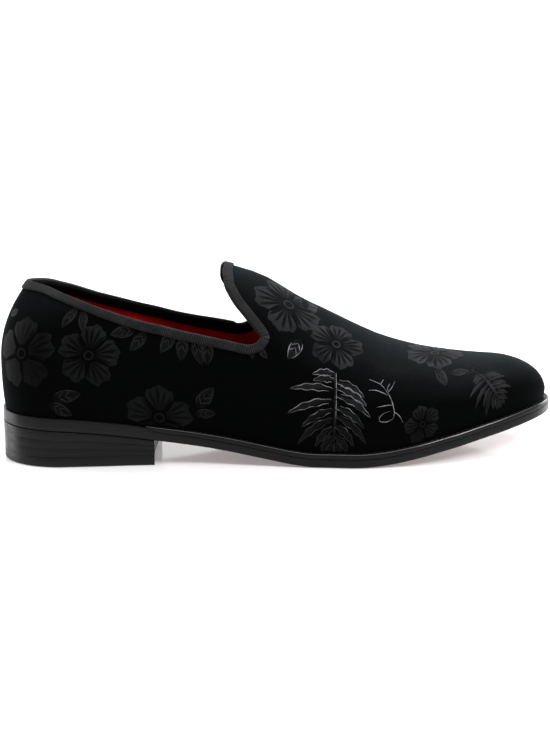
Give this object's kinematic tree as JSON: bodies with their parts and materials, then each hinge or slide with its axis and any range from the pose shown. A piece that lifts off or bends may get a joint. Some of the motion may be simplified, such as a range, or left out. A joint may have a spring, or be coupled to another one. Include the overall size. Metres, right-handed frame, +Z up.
{
  "type": "slipper loafer",
  "caption": "Right velvet slipper loafer with a raised tongue, ribbon-bound topline, welted sole and low stacked heel.",
  "frame": {"origin": "middle of the shoe's length and width, on the floor it stands on", "axes": "+X from heel to toe, +Y to the wearer's left, which is the inner side of this right shoe, +Z up"},
  "size_m": [0.3068, 0.102, 0.1056],
  "materials": {
    "velvet": "black velvet pile with a tone-on-tone pressed floral pattern",
    "ribbon": "fine ribbed black ribbon",
    "red_sock": "plain dark red lining",
    "welt_strip": "black, satin, stitched",
    "sole_black": "black satin edge over a dark red bottom",
    "heel_stack": "black satin, faint lift lines",
    "heel_rubber": "matt black"
  },
  "bodies": {
    "root": {"upper": "velvet", "topline_binding": "ribbon", "insole": "red_sock", "welt": "welt_strip", "outsole": "sole_black", "heel_block": "heel_stack", "heel_top_piece": "heel_rubber"}
  },
  "joints": []
}
